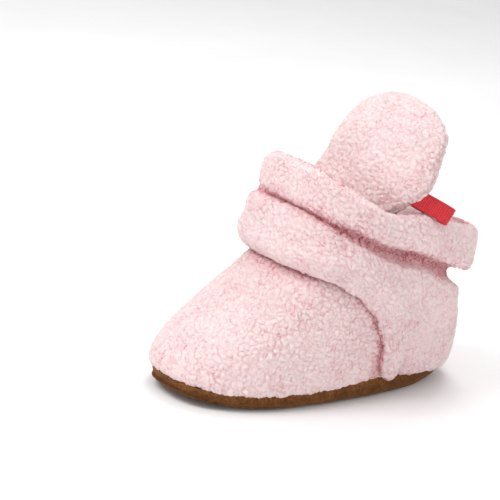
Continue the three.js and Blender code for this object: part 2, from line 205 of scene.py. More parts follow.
def angle_at(rings, y, height, side):
    """The angle around the rings where they pass a given y, on the outer (1) or inner (-1) side."""
    row = smooth_table(rings[:, 0], rings, height)
    middle, reach = (row[..., 1] + row[..., 2]) / 2, (row[..., 2] - row[..., 1]) / 2
    sine = signed_power(np.clip((y - middle) / reach, -1, 1), ROUNDNESS / 2)
    angle = np.arcsin(sine)
    return angle if side > 0 else -math.pi - angle


def grid_normals(grid):
    """Unit normals of a grid of points, outward where columns run clockwise from above."""
    along = np.gradient(grid, axis=0)
    up = np.gradient(grid, axis=1)
    normal = np.cross(up, along)
    return normal / np.maximum(np.linalg.norm(normal, axis=-1, keepdims=True), 1e-9)


def ring_length(rings, angle, height):
    """The distance walked along a path of points on the rings, from 0."""
    steps = np.linalg.norm(np.diff(ring_points(rings, angle, height), axis=0), axis=1)
    return np.concatenate([[0], np.cumsum(steps)])


def hem_spacing(length, hem, step):
    """Positions along a strip, from 0 to its length, closer together in the rounded hems."""
    turns = max(4, int(round(1.4 * hem / step)))
    bend = hem * (1 - np.cos(np.linspace(0, math.pi / 2, turns)))
    middle = np.linspace(hem, length - hem, max(3, int(round((length - 2 * hem) / step))))
    return np.concatenate([bend, middle[1:-1], length - bend[::-1]])


def hem_taper(position, length, hem):
    """The share of the full thickness at a position: round at both ends."""
    edge = np.minimum(position, length - position)
    return np.sqrt(np.clip(1 - (1 - np.clip(edge / hem, 0, 1)) ** 2, 0, 1))


def border_taper(along, up, hem):
    """The tapers of a grid of columns and rows, round at all four edges."""
    return hem_taper(along, along[-1], hem)[:, None] * hem_taper(up, up[-1], hem)[None, :]


# ---------------------------------------------------------------- meshes
def finish_surface(mesh, material):
    mesh.materials.clear()
    mesh.materials.append(material)
    mesh.polygons.foreach_set("use_smooth", [True] * len(mesh.polygons))


def add_object(name, data):
    added = bpy.data.objects.new(name, data)
    bpy.context.scene.collection.objects.link(added)
    return added


def add_piece(name, points, faces, material, body, slot, *nodes):
    """A smooth piece, which stands for some CAD nodes. It rides on a body, or on none. Its slot
    argument is not used."""
    mesh = bpy.data.meshes.new(name)
    mesh.from_pydata((np.asarray(points) * MM).tolist(), [], [list(f) for f in faces])
    mesh.validate()
    finish_surface(mesh, material)
    piece = add_object(name, mesh)
    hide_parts(*nodes)
    if body:
        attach(piece, body)
    return piece


def read_points(mesh, normals=False):
    data = np.empty(3 * len(mesh.vertices))
    mesh.vertices.foreach_get("normal" if normals else "co", data)
    return data.reshape(-1, 3) / (1 if normals else MM)


def write_points(mesh, points):
    mesh.vertices.foreach_set("co", (points * MM).ravel())
    mesh.update()


def push_out(mesh, distance):
    """Moves every point along its normal."""
    write_points(mesh, read_points(mesh) + read_points(mesh, normals=True) * distance[:, None])


def set_attribute(mesh, name, values):
    layer = mesh.attributes.get(name) or mesh.attributes.new(name, "FLOAT", "POINT")
    layer.data.foreach_set("value", np.asarray(values, dtype=np.float32))


def raise_fleece(piece, seed, pile=FLEECE_PILE, mask=1.0):
    """Displaces a piece into curly fleece and records, for painted shade, how deep each point lies
    in a crevice.
    """
    height, curl = fleece_relief(read_points(piece.data), seed)
    push_out(piece.data, pile * mask * height)
    set_attribute(piece.data, "curl", curl)


def paint_crevice_shade(piece, shade, strength):
    """Paints shade on the first points of a piece, its outer face, by turning them towards the
    colour of a crevice.
    """
    layer = piece.data.attributes["curl"].data
    curl = np.empty(len(layer))
    layer.foreach_get("value", curl)
    curl[:len(shade)] *= 1 - strength * shade
    layer.foreach_set("value", curl)


def pillow(outer, thickness, tapers):
    """Points and faces of a closed pad over a grid of outer points. The thickness shrinks to
    nothing at the border of the grid, which rounds its edges. The pad lies inside the grid."""
    half = grid_normals(outer) * np.broadcast_to(thickness, tapers.shape)[..., None] / 2
    middle, swell = outer - half, half * tapers[..., None]
    front, back = middle + swell, middle - swell
    columns, rows = outer.shape[:2]
    index = np.arange(columns * rows).reshape(columns, rows)
    inner = index.copy()
    core = slice(1, -1)
    inner[core, core] = columns * rows + np.arange((columns - 2) * (rows - 2)).reshape(
        columns - 2, rows - 2)
    points = np.concatenate([front.reshape(-1, 3), back[core, core].reshape(-1, 3)])

    def quads(grid):
        return np.stack([grid[:-1, :-1], grid[:-1, 1:], grid[1:, 1:], grid[1:, :-1]], -1)

    faces = np.concatenate([quads(index).reshape(-1, 4), quads(inner).reshape(-1, 4)[:, ::-1]])
    return points, faces


def closed_tube(grid, ends):
    """Points and faces of a solid around a grid of rings, closed with a fan at each end."""
    points = np.concatenate([grid.reshape(-1, 3), ends])
    index = np.arange(len(points) - 2).reshape(grid.shape[:2])
    after = np.roll(index, -1, axis=0)
    quads = np.stack([index[:, :-1], after[:, :-1], after[:, 1:], index[:, 1:]], -1)
    low, high = len(points) - 2, len(points) - 1
    faces = quads.reshape(-1, 4).tolist()
    faces += [(low, b, a) for a, b in zip(index[:, 0].tolist(), after[:, 0].tolist())]
    faces += [(high, a, b) for a, b in zip(index[:, -1].tolist(), after[:, -1].tolist())]
    return points, faces


# ---------------------------------------------------------------- materials
def linear(red, green, blue):
    """A colour given as on screen, 0 to 255, in the renderer's linear light."""
    return tuple(((part / 255 + 0.055) / 1.055) ** 2.4 for part in (red, green, blue)) + (1.0,)


class Shader:
    """A material's node tree, with a shorter way to add and link nodes."""

    def __init__(self, name):
        self.material = bpy.data.materials.new(name)
        self.material.use_nodes = True
        self.tree = self.material.node_tree
        self.surface = self.tree.nodes["Principled BSDF"]
        self.place = self.node("ShaderNodeTexCoord").outputs["Object"]

    def feed(self, socket, value):
        """Links a node's output to a socket, or sets the socket to a plain value."""
        if isinstance(value, bpy.types.NodeSocket):
            self.tree.links.new(value, socket)
        else:
            socket.default_value = value

    def node(self, kind, *inputs, **values):
        """A new node, with its inputs given in order or by name, and its other settings."""
        node = self.tree.nodes.new(kind)
        for key, value in values.items():
            socket = node.inputs.get(key.replace("_", " "))
            if socket is None:
                setattr(node, key, value)
            else:
                self.feed(socket, value)
        for socket, value in zip(node.inputs, inputs):
            self.feed(socket, value)
        return node

    def set(self, **values):
        for key, value in values.items():
            self.feed(self.surface.inputs[key.replace("_", " ")], value)

    def noise(self, millimetre_size, detail=3.0, roughness=0.55):
        return self.node("ShaderNodeTexNoise", Vector=self.place, Scale=1 / (millimetre_size * MM),
                         Detail=detail, Roughness=roughness).outputs["Fac"]

    def attribute(self, name):
        return self.node("ShaderNodeAttribute", attribute_name=name).outputs["Fac"]

    def ramp(self, factor, *stops):
        node = self.node("ShaderNodeValToRGB", Fac=factor)
        elements = node.color_ramp.elements
        while len(elements) < len(stops):
            elements.new(0.5)
        for element, (position, colour) in zip(elements, stops):
            element.position = position
            element.color = colour
        return node.outputs["Color"]

    def mix(self, factor, first, second, blend_type="MIX"):
        node = self.node("ShaderNodeMix", data_type="RGBA", blend_type=blend_type)
        for place, value in ((0, factor), (6, first), (7, second)):
            self.feed(node.inputs[place], value)
        return node.outputs[2]

    def maths(self, operation, first, second):
        return self.node("ShaderNodeMath", first, second, operation=operation).outputs[0]

    def bump(self, height, strength, millimetre_depth):
        return self.node("ShaderNodeBump", Height=height, Strength=strength,
                         Distance=millimetre_depth * MM).outputs["Normal"]


def fleece_material():
    """Pale curls with painted dusty rose shade in their thin crevices, a soft sheen and fine
    fibres.
    """
    shader = Shader("curly_fleece")
    curl = shader.attribute("curl")
    drift = shader.node("ShaderNodeTexNoise", Vector=shader.place, Scale=1 / (1.7 * MM),
                        Detail=2.0).outputs["Color"]
    bent = shader.node("ShaderNodeVectorMath", drift, (2.2 * MM,) * 3, shader.place,
                       operation="MULTIPLY_ADD")
    edges = shader.node("ShaderNodeTexVoronoi", feature="DISTANCE_TO_EDGE",
                        Vector=bent.outputs[0], Scale=1 / (1.75 * MM)).outputs["Distance"]
    lines = shader.ramp(edges, (0.0, (0, 0, 0, 1)), (0.1, (1, 1, 1, 1)))
    matted = shader.ramp(shader.noise(4.5, detail=2), (0.34, (0.62, 0.62, 0.62, 1)),
                         (0.66, (1, 1, 1, 1)))
    crack_line_shade = shader.maths("MULTIPLY", shader.maths("SUBTRACT", 1.0, lines), matted)
    fibres = shader.noise(0.5, detail=4, roughness=0.65)
    depth = shader.maths("SUBTRACT", curl, shader.maths("MULTIPLY", crack_line_shade, 0.42))
    depth = shader.maths("ADD", depth, shader.maths("MULTIPLY", shader.maths(
        "SUBTRACT", fibres, 0.5), 0.4))
    # Painted shade: dusty rose where the curl value is low, deep in a crevice, and along the crack
    # lines between curls.
    colour = shader.ramp(
        depth,
        (0.0, linear(196, 104, 112)),
        (0.14, linear(222, 158, 163)),
        (0.34, linear(234, 193, 196)),
        (0.66, linear(238, 214, 214)),
        (0.95, linear(243, 223, 222)),
    )
    patches = shader.ramp(shader.noise(16, detail=2), (0.35, (0.955, 0.94, 0.945, 1)),
                          (0.65, (1, 1, 1, 1)))
    relief = shader.maths("ADD", shader.maths("MULTIPLY", lines, 0.7), fibres)
    shader.set(
        Base_Color=shader.mix(1.0, colour, patches, "MULTIPLY"),
        Roughness=0.92,
        Specular_IOR_Level=0.12,
        Sheen_Weight=0.3,
        Sheen_Roughness=0.6,
        Sheen_Tint=linear(255, 242, 241),
        Subsurface_Weight=0.2,
        Subsurface_Radius=(1.0, 0.6, 0.55),
        Subsurface_Scale=1.2 * MM,
        Normal=shader.bump(relief, 0.6, 0.35),
    )
    return shader.material


def suede_material():
    """Brushed brown leather: a fine nap, darker and lighter strokes, and a painted highlight that
    pales the top of the rim, with random paler patches.
    """
    shader = Shader("suede")
    nap = shader.noise(0.9, detail=5, roughness=0.75)
    strokes = shader.noise(5, detail=3)
    rim_highlight_and_mottle = shader.attribute("rim_highlight_and_mottle")
    brown = shader.ramp(strokes, (0.3, linear(76, 46, 24)), (0.7, linear(112, 70, 38)))
    # Paler where the painted rim highlight and the random patches fall.
    highlit_rim_and_mottle = shader.mix(rim_highlight_and_mottle, brown, linear(140, 92, 52))
    speckle = shader.ramp(nap, (0.36, (0.45, 0.42, 0.4, 1)), (0.62, (1.3, 1.28, 1.25, 1)))
    shader.set(
        Base_Color=shader.mix(1.0, highlit_rim_and_mottle, speckle, "MULTIPLY"),
        Roughness=0.95,
        Specular_IOR_Level=0.1,
        Sheen_Weight=0.35,
        Sheen_Roughness=0.5,
        Sheen_Tint=linear(214, 160, 110),
        Normal=shader.bump(nap, 0.9, 0.3),
    )
    return shader.material


def lining_material():
    """Short plush: a fine even pile with faint streaks."""
    shader = Shader("plush_lining")
    pile = shader.noise(0.45, detail=4)
    streaks = shader.noise(9, detail=2)
    shade = shader.ramp(pile, (0.3, linear(226, 178, 188)), (0.7, linear(250, 222, 227)))
    cloud = shader.ramp(streaks, (0.35, (0.93, 0.9, 0.91, 1)), (0.65, (1, 1, 1, 1)))
    shader.set(Base_Color=shader.mix(1.0, shade, cloud, "MULTIPLY"), Roughness=0.9,
               Specular_IOR_Level=0.1, Sheen_Weight=0.3, Normal=shader.bump(pile, 0.7, 0.3))
    return shader.material


def grain_material(name, size, dark, light, bump):
    """A plain soft material with a fine grain."""
    shader = Shader(name)
    grain = shader.noise(size, detail=4, roughness=0.6)
    shader.set(Base_Color=shader.ramp(grain, (0.35, dark), (0.65, light)), Roughness=0.9,
               Specular_IOR_Level=0.15, Normal=shader.bump(grain, bump, 0.2))
    return shader.material


def ribbon_material(name, dark, light, pitch):
    """A woven ribbon: fine crossing threads with a satin shine."""
    shader = Shader(name)
    waves = []
    for axis in ("X", "Z"):
        waves.append(shader.node("ShaderNodeTexWave", wave_type="BANDS", bands_direction=axis,
                                 Vector=shader.place, Scale=0.314 / (pitch * MM),
                                 Distortion=0.4).outputs["Fac"])
    weave = shader.maths("MULTIPLY", waves[0], waves[1])
    grain = shader.noise(1.2, detail=3)
    colour = shader.ramp(shader.maths("ADD", shader.maths("MULTIPLY", weave, 0.6),
                                      shader.maths("MULTIPLY", grain, 0.5)),
                         (0.2, dark), (0.75, light))
    shader.set(Base_Color=colour, Roughness=0.5, Specular_IOR_Level=0.4, Sheen_Weight=0.15,
               Normal=shader.bump(weave, 0.6, 0.12))
    return shader.material


FLEECE = fleece_material()
SUEDE = suede_material()
PLUSH = lining_material()
FOAM = grain_material("soft_foam", 0.8, linear(230, 222, 206), linear(248, 243, 233), 0.8)
THREAD = grain_material("cotton_thread", 0.25, linear(222, 182, 190), linear(244, 216, 221), 0.4)
RIBBON = ribbon_material("label_ribbon", linear(176, 16, 28), linear(232, 44, 54), 0.5)
TAPE = ribbon_material("nylon_tape", linear(226, 200, 206), linear(250, 236, 239), 0.6)


# ---------------------------------------------------------------- the foot's levels
BODY = foot_rings(
    (4, 0.3, 2.0, 27.7),
    (9, 0, 3, 28.2),
    (15, 3, 3.5, 28.5),
    (22, 9.2, 4, 28.5),
    (29, 18.2, 3.5, 28),
    (36, 28, 2, 27.5),
    (43, 36, 0, 27),
    (50, 45, -2, 26),
)
WRAP = foot_rings(
    (4, 25, 3.6, 27.9),
    (9, 26, 3.8, 28.9),
    (20, 30, 3.6, 30.0, 0.2),
    (35, 34, 2.4, 31.2, 0.5),
    (45, 35.4, 0.4, 32.8, 0.95, 0.1),
    (52, 36.1, -1, 33.5, 1.2, 0.25),
    (58, 36.8, -2, 33.5, 1.28, 0.4),
    (61, 38, -3, 32.7, 1.3, 0.5),
    (64, 39.4, 1, 34.2, 1.27, 0.6),
    (69, 41, 2.4, 34.6, 1.15, 0.75),
    (74, 42.6, 2, 33.6, 1, 0.95),
    (77, 45.4, 0.6, 31.5, 1, 1),
)
WRAP_TOP = 77.0
WRAP_FRONT_BOTTOM = 41.0
WIDEST_HEIGHT = 15.0
BACK_ANGLE, FRONT_ANGLE = math.pi / 2, -math.pi / 2

# The height of the fleece's lower edge along the foot: low at the toe and high at the arch,
# where more of the suede shows.
FLEECE_EDGE = [(-58, 3.2), (-30, 4.3), (0, 6.0), (18, 6.6), (36, 5.6), (60, 4.8)]
# The seam between vamp and wrap, seen from the side.
SEAM = np.array([(-60.0, 46), (-9, 46), (-1, 42), (7, 34), (12.5, 22), (12, 5), (12, -5)])


def settle_on_sole(points, height):
    """Shifts the lowest part of the fleece to its ragged edge over the suede."""
    ragged = 0.5 * grid_noise(points, 2.4, 51) + 0.4 * grid_noise(points, 6.5, 52)
    low = np.interp(points[..., 1], *zip(*FLEECE_EDGE)) + ragged
    points[..., 2] += (low - FLEECE_LOW) * (1 - smoothstep(FLEECE_LOW, 18, height))
    return points


def behind_seam(points):
    """The distance of points behind the seam between vamp and wrap, negative before it."""
    flat = points[..., 1:3]
    best = np.full(flat.shape[:-1], 1e9)
    signed = np.zeros(flat.shape[:-1])
    for start, end in zip(SEAM[:-1], SEAM[1:]):
        run = end - start
        share = np.clip(((flat - start) @ run) / (run @ run), 0, 1)
        offset = flat - (start + share[..., None] * run)
        distance = np.linalg.norm(offset, axis=-1)
        side = np.where(run[0] * offset[..., 1] - run[1] * offset[..., 0] > 0, 1, -1)
        nearer = distance < best - 1e-9
        best = np.where(nearer, distance, best)
        signed = np.where(nearer, distance * side, signed)
    return signed


# ---------------------------------------------------------------- vamp
def make_vamp():
    """The fleece over the toes and instep. Its edges run under the wrap."""
    heights = np.linspace(BODY[0, 0], BODY[-1, 0], 400)
    profile = ring_length(BODY, FRONT_ANGLE, heights)
    hem, thickness, inside = 2.2, 4.2, 0.9
    up = hem_spacing(profile[-1], hem, FINE_STEP)
    row_height = np.interp(up, profile, heights)
    # How far back the vamp runs under the wrap at each height.
    end = np.interp(row_height, [4, 22, 34, 42, 46, 50], [21, 21, 15, 7, 0, -6])
    first, last = (angle_at(BODY, end, row_height, side) for side in (1, -1))
    sweep = np.linspace(0, 1, 900)
    widest = np.argmin(abs(row_height - WIDEST_HEIGHT))
    around = ring_length(BODY, first[widest] + sweep * (last[widest] - first[widest]),
                         WIDEST_HEIGHT)
    along = hem_spacing(around[-1], hem, FINE_STEP)
    share = np.interp(along, around, sweep)
    angle = first + share[:, None] * (last - first)
    outer = settle_on_sole(ring_points(BODY, angle, row_height), row_height)
    normal = grid_normals(outer)
    edge = behind_seam(outer)
    sink = smoothstep(-8, 1.5, edge)
    lumps = 0.8 * grid_noise(outer, 15, 41)
    outer = outer + normal * (lumps - sink - inside)[..., None]
    points, faces = pillow(outer, thickness, border_taper(along, up, hem))
    vamp = add_piece("vamp_fleece", points, faces, FLEECE, "root", "fleece", "vamp_shell")
    mask = np.ones(len(points))
    mask[edge.size:] = 0.3
    raise_fleece(vamp, seed=3, mask=mask)
    # Painted shade along the crease where the vamp runs under the wrap.
    paint_crevice_shade(vamp, np.exp(-((edge.ravel() + 1.0) / 3.0) ** 2), 0.5)


# ---------------------------------------------------------------- wrap
# The thickness of the fleece pads at each height, (height, thickness).
SIDE_THICKNESS = [(4, 5), (20, 5.5), (35, 6), (45, 7), (52, 8), (58, 7.2), (61, 5.6), (64, 7.4),
                  (69, 8.8), (74, 8.4), (77, 7.4)]
FRONT_THICKNESS = [(40, 7.4), (45, 7.8), (52, 8), (58, 6.4), (61, 5.4), (64, 6.4), (69, 7.6),
                   (77, 7.2)]


def column_grid(rings, low, top, hem, step):
    """A grid whose columns run from a lower path to an upper path, each path a list of
    (angle, height) with the same number of corners. Returns the grid's angles, heights and
    tapers, and the place of each column along it."""
    low, top = np.array(low), np.array(top)
    dense = np.linspace(0, len(low) - 1, 1200)
    corner = np.arange(len(low))

    def path(corners, at):
        return np.stack([np.interp(at, corner, corners[:, axis]) for axis in range(2)], axis=1)

    halfway = (path(low, dense) + path(top, dense)) / 2
    reach = ring_length(rings, *halfway.T)
    along = hem_spacing(reach[-1], hem, step)
    at = np.interp(along, reach, dense)
    start, end = path(low, at), path(top, at)
    climb = np.linspace(0, 1, 200)
    columns = start[:, None, :] + climb[None, :, None] * (end - start)[:, None, :]
    sheet = ring_points(rings, *np.moveaxis(columns, -1, 0))
    steps = np.linalg.norm(np.diff(sheet, axis=1), axis=-1)
    rise = np.concatenate([np.zeros((len(at), 1)), np.cumsum(steps, axis=1)], axis=1)
    longest = rise[:, -1].max()
    pattern = hem_spacing(longest, hem, step)
    below, above = pattern <= hem, pattern >= longest - hem
    share = np.clip((pattern - hem) / (longest - 2 * hem), 0, 1)
    grid = np.empty((len(at), len(pattern), 2))
    taper = np.empty((len(at), len(pattern)))
    for column in range(len(at)):
        length = rise[column, -1]
        position = hem + share * (length - 2 * hem)
        position[below] = pattern[below]
        position[above] = length - (longest - pattern[above])
        fraction = np.interp(position, rise[column], climb)
        grid[column] = start[column] + fraction[:, None] * (end[column] - start[column])
        taper[column] = hem_taper(position, length, hem)
    taper *= hem_taper(along, reach[-1], hem)[:, None]
    return grid[..., 0], grid[..., 1], taper, along


def gather(height, along, front_share):
    """How far the fleece is drawn in by the elastic, and the puckers that fan out from it."""
    away = height - ELASTIC_HEIGHT
    pitch = along / 6.2 + 0.55 * np.sin(along / 13.0) + 0.35 * np.sin(along / 5.1 + 1)
    ripple = 1 - np.abs(np.sin(math.pi * pitch))
    second = 1 - np.abs(np.sin(math.pi * (1.7 * pitch + 0.3)))
    crease = (5.2 - 0.6 * front_share) * np.exp(-np.abs(away) / 1.2)
    fan = np.exp(-np.abs(away) / 4.5) * (1.3 * ripple + 0.8 * second)
    return crease + fan * (1 - np.exp(-(away / 1.2) ** 2) * 0.3)


def make_wrap(name, nodes, low, top, seed, layer_front):
    """One half of the ankle wrap: a fleece pad with rounded edges, drawn in by its elastic. A
    roll rises behind its seam, a short tuck runs up from the sole, and layer_front shapes the
    part that overlaps the other half."""
    hem, inside, thinnest = 3.6, 0.4, 2.4
    angle, height, taper, along = column_grid(WRAP, low, top, hem, FINE_STEP)
    outer = settle_on_sole(ring_points(WRAP, angle, height), height)
    normal = grid_normals(outer)
    x, y, z = np.moveaxis(outer, -1, 0)
    front_share = smoothstep(4, -14, y)
    thick = np.interp(height, *zip(*SIDE_THICKNESS)) * (1 - front_share) \
        + np.interp(height, *zip(*FRONT_THICKNESS)) * front_share
    drawn = gather(height, along[:, None], front_share)
    flatter = 1.6 * smoothstep(-6, -26, x) * smoothstep(60, 66, height)
    lumps = 1.1 * grid_noise(outer, 12, seed + 40)
    fold = 1.6 * np.exp(-((behind_seam(outer) - 4) / 3.5) ** 2)
    tuck = 1.7 * np.exp(-((y - 21 - 0.12 * z) / 1.6) ** 2) * (1 - smoothstep(9, 20, z))
    outer = outer + normal * (lumps - drawn + fold - tuck - inside - flatter)[..., None]
    thick = np.maximum(thick - 0.75 * drawn, thinnest)
    outer, thick, pile = layer_front(outer, normal, thick, angle, height)
    points, faces = pillow(outer, thick, taper)
    wrap = add_piece(name, points, faces, FLEECE, None, "fleece", *nodes)
    mask = np.concatenate([pile.ravel(), 0.45 * pile[1:-1, 1:-1].ravel()])
    raise_fleece(wrap, seed=seed, mask=mask)
    # Painted shade in the crease drawn in by the elastic and on the rounded edges of the pad.
    elastic_crease_shade = np.exp(-np.abs(height.ravel() - ELASTIC_HEIGHT) / 1.8)
    paint_crevice_shade(wrap, np.maximum(elastic_crease_shade, 1 - smoothstep(0.1, 0.85, taper.ravel())), 0.8)
    return wrap


def side_path(corners, side):
    """A path over corners (y, height) on the outer (1) or inner (-1) side of the wrap."""
    return [(angle_at(WRAP, y, height, side), height) for y, height in corners]


# The lower edge of the wrap from heel to throat, and the corner of the top over each corner.
SEAM_FOOT = [(30, 4), (17, 4), (12.6, 6), (11.2, 13), (11.0, 21), (5.5, 31.5), (-2.5, 38),
             (-11, WRAP_FRONT_BOTTOM)]
SEAM_HEAD = [(y, WRAP_TOP) for y in (40, 31, 26.5, 21.5, 15.5, 8, -2.5, -11)]
OUTER_FLAP_END = (-10, -2.5)  # the last two corners, on the inner side


def ankle(outset):
    """Rings around the ankle at a distance outside its room. They lean in towards the tongue
    at the top of the front."""
    leans = ((40, 0, 0.6), (50, 0, 1), (58, 0.5, 1), (66, 3.4, 1), (77, 4.5, 1))
    return foot_rings(*((z, 47 + lean - outset, outset - 13, 22.5 + outset, tilt)
                        for z, lean, tilt in leans))


INNER_FLAP_THICKNESS = 3.0
THINNEST_FLAP = 1.6
# Distances outside the ankle's room: the inner flap's face, and the bed of the outer flap.
INNER_FLAP_FACE = 3.85
BED = 4.2
TAPE_ROOM = 2.3  # what both tapes together take up over the bed
GAP = 0.3
TAPE_LOW, TAPE_HIGH = 52.0, 68.0
TAPE_FRONT, TAPE_BACK = -15.0, -5.0


def tape_window(points):
    """1 over the hook and loop tapes on the inner side, falling to 0 around them."""
    x, y, z = np.moveaxis(points, -1, 0)
    return ((1 - smoothstep(-12, -8, x)) * (1 - smoothstep(TAPE_BACK, TAPE_BACK + 2.5, y))
            * smoothstep(TAPE_LOW - 3, TAPE_LOW, z) * (1 - smoothstep(TAPE_HIGH, TAPE_HIGH + 3, z)))


def make_outer_wrap():
    """From the centre back round the outer side and over the front to the inner side."""
    def round_to_inner_side(start, corners, height):
        return [(BACK_ANGLE, start)] + side_path(corners, 1) + [(FRONT_ANGLE, height)] \
            + side_path([(y, height) for y in OUTER_FLAP_END], -1)

    def over_inner_flap(outer, normal, thick, angle, height):
        """Keeps the flap's inner face outside the inner flap and the tapes."""
        front_share = smoothstep(2, -6, outer[..., 1])
        room = np.sum((outer - ring_points(ankle(BED), angle, height)) * normal, axis=-1)
        over_tape = tape_window(outer)
        room -= TAPE_ROOM * over_tape
        lift = over_tape * np.maximum(0, THINNEST_FLAP + GAP - room)
        limit = np.maximum(room + lift - GAP, THINNEST_FLAP)
        outer = outer + normal * lift[..., None]
        return outer, thick + front_share * (limit - thick), np.ones(height.shape)

    nodes = ("quarter_lateral", "outer_flap_shell", "outer_flap_lining", "outer_flap_elastic")
    return make_wrap("wrap_outer_fleece", nodes,
                     round_to_inner_side(FLEECE_LOW, SEAM_FOOT, WRAP_FRONT_BOTTOM),
                     round_to_inner_side(WRAP_TOP, SEAM_HEAD, WRAP_TOP), 11, over_inner_flap)


def make_inner_wrap():
    """From the front, under the outer flap, round the inner side to the centre back."""
    def under_outer_flap(outer, _normal, thick, angle, height):
        """Draws the covered part of the flap in, thin and flat, against the ankle."""
        under = smoothstep(1, -5, outer[..., 1])
        covered = ring_points(ankle(INNER_FLAP_FACE), angle, height)
        outer = outer + under[..., None] * (covered - outer)
        return outer, thick + under * (INNER_FLAP_THICKNESS - thick), 1 - 0.72 * under

    def round_from_front(corners, front_height, end_height):
        tip = FRONT_ANGLE + 0.36
        return [(tip, front_height), (FRONT_ANGLE, front_height)] \
            + side_path(corners, -1)[::-1] + [(-math.pi - BACK_ANGLE, end_height)]

    flap_top = WRAP_TOP - 8
    head = SEAM_HEAD[:-2] + [(-4, WRAP_TOP - 4.5), (-11, flap_top)]
    nodes = ("quarter_medial", "inner_flap_shell", "inner_flap_lining", "back_elastic")
    return make_wrap("wrap_inner_fleece", nodes,
                     round_from_front(SEAM_FOOT, WRAP_FRONT_BOTTOM, FLEECE_LOW),
                     round_from_front(head, flap_top, WRAP_TOP), 23, under_outer_flap)


def bend_at_hinge(piece):
    """Bakes the transform of a wrap piece into its mesh."""
    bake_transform(piece)


make_vamp()
bend_at_hinge(make_outer_wrap())
bend_at_hinge(make_inner_wrap())


# ---------------------------------------------------------------- tongue
TONGUE_HEIGHT = 68.0
TONGUE_HALF_WIDTH = 27.5
TONGUE_BASE_HALF_WIDTH = 14.0
TONGUE_HALF_THICKNESS = 7.5
TONGUE_BASE_HALF_THICKNESS = 4.5
TONGUE_CROWN = 0.62
TONGUE_SWAY = 4.0
SIM_SCALE = 10.0


def tongue_to_foot(points):
    """From the tongue's own frame, standing on the throat, to the shared frame."""
    return points @ TONGUE_LEAN.T + THROAT


def foot_to_tongue(points):
    return (points - THROAT) @ TONGUE_LEAN


def tongue_curl(x):
    """How far the sides of the tongue bend back around the leg."""
    return 3 * (x / TONGUE_HALF_WIDTH) ** 2


def tongue_shift(z):
    """How far the tongue leans to the outer side at a height."""
    return TONGUE_SWAY * smoothstep(8, 60, z)


def tongue_cage(depth, columns=56, rows=44):
    """The tongue's outline drawn in by a depth: narrow at the throat and wide near the top."""
    climb = (1 - (1 - np.linspace(0, 1, rows)) ** 1.5)[None, :]
    angle = (2 * math.pi * np.arange(columns) / columns)[:, None]
    spread = np.minimum(1, climb / TONGUE_CROWN)
    over = np.maximum(0, climb - TONGUE_CROWN) / (1 - TONGUE_CROWN)
    dome = np.maximum(0, 1 - over ** 2.5) ** (1 / 2.2)
    wide = TONGUE_BASE_HALF_WIDTH + (TONGUE_HALF_WIDTH - TONGUE_BASE_HALF_WIDTH) * spread
    thick = TONGUE_BASE_HALF_THICKNESS \
        + (TONGUE_HALF_THICKNESS - TONGUE_BASE_HALF_THICKNESS) * spread
    z = depth + (TONGUE_HEIGHT - 2 * depth) * climb + 0 * angle
    x = (wide - depth) * dome * np.cos(angle)
    fuller = 1 + 0.15 * smoothstep(8, 26, z) * (1 - smoothstep(32, 52, z))
    x *= np.where(x < 0, 1 - 0.16 * smoothstep(22, 42, z), fuller)
    y = (thick - depth) * np.minimum(1, 1.6 * dome) * np.sin(angle) + tongue_curl(x)
    grid = np.stack([x + tongue_shift(z), y, z], axis=-1)
    return closed_tube(grid[:, :-1], [[0, 0, depth], grid[0, -1]])


def set_all(target, **values):
    for name, value in values.items():
        setattr(target, name, value)


def evaluated_mesh(piece):
    graph = bpy.context.evaluated_depsgraph_get()
    return bpy.data.meshes.new_from_object(piece.evaluated_get(graph))


def swap_mesh(piece, mesh):
    piece.modifiers.clear()
    old = piece.data
    piece.data = mesh
    bpy.data.meshes.remove(old)


def run_modifier(piece, kind, **settings):
    """Runs one modifier on a piece and keeps only its result."""
    set_all(piece.modifiers.new(kind, kind), **settings)
    swap_mesh(piece, evaluated_mesh(piece))


def remesh(piece, voxel):
    run_modifier(piece, "REMESH", mode="VOXEL", voxel_size=voxel)


def stuff(piece, voxel, pressure, cap, pinned, frames=18):
    """Fills a closed pad: an even cloth skin is blown up by pressure and held where pinned.
    The mesh is enlarged meanwhile, because the solver works best at furniture size."""
    piece.data.transform(Matrix.Scale(SIM_SCALE, 4))
    remesh(piece, voxel * MM * SIM_SCALE)
    start = read_points(piece.data) / SIM_SCALE
    group = piece.vertex_groups.new(name="pin")
    group.add(np.flatnonzero(pinned(start)).tolist(), 1.0, "REPLACE")
    cloth = piece.modifiers.new("stuffing", "CLOTH")
    set_all(cloth.settings, quality=6, mass=0.3, tension_stiffness=12, compression_stiffness=12,
            bending_stiffness=0.6, use_pressure=True, uniform_pressure_force=pressure,
            vertex_group_mass="pin")
    cloth.settings.effector_weights.gravity = 0
    set_all(cloth.point_cache, frame_start=1, frame_end=frames)
    for step in range(1, frames + 1):
        bpy.context.scene.frame_set(step)
    filled = evaluated_mesh(piece)
    moved = read_points(filled) / SIM_SCALE - start
    reach = np.linalg.norm(moved, axis=1, keepdims=True)
    swap_mesh(piece, filled)
    write_points(piece.data, start + moved * np.minimum(1, cap / np.maximum(reach, 1e-6)))
    bpy.context.scene.frame_set(1)


def relax(mesh, times):
    """Evens out the small wrinkles of a simulated mesh."""
    cage = bmesh.new()
    cage.from_mesh(mesh)
    for _ in range(times):
        bmesh.ops.smooth_vert(cage, verts=cage.verts, factor=0.5,
                              use_axis_x=True, use_axis_y=True, use_axis_z=True)
    cage.to_mesh(mesh)
    cage.free()


def fill_outline(mesh, target):
    """Stretches a stuffed pad along the tongue's width and height back to its pattern."""
    local, wanted = foot_to_tongue(read_points(mesh)), foot_to_tongue(target)
    for axis in (0, 2):
        low, high = local[:, axis].min(), local[:, axis].max()
        share = (local[:, axis] - low) / (high - low)
        local[:, axis] = wanted[:, axis].min() + share * np.ptp(wanted[:, axis])
    write_points(mesh, tongue_to_foot(local))


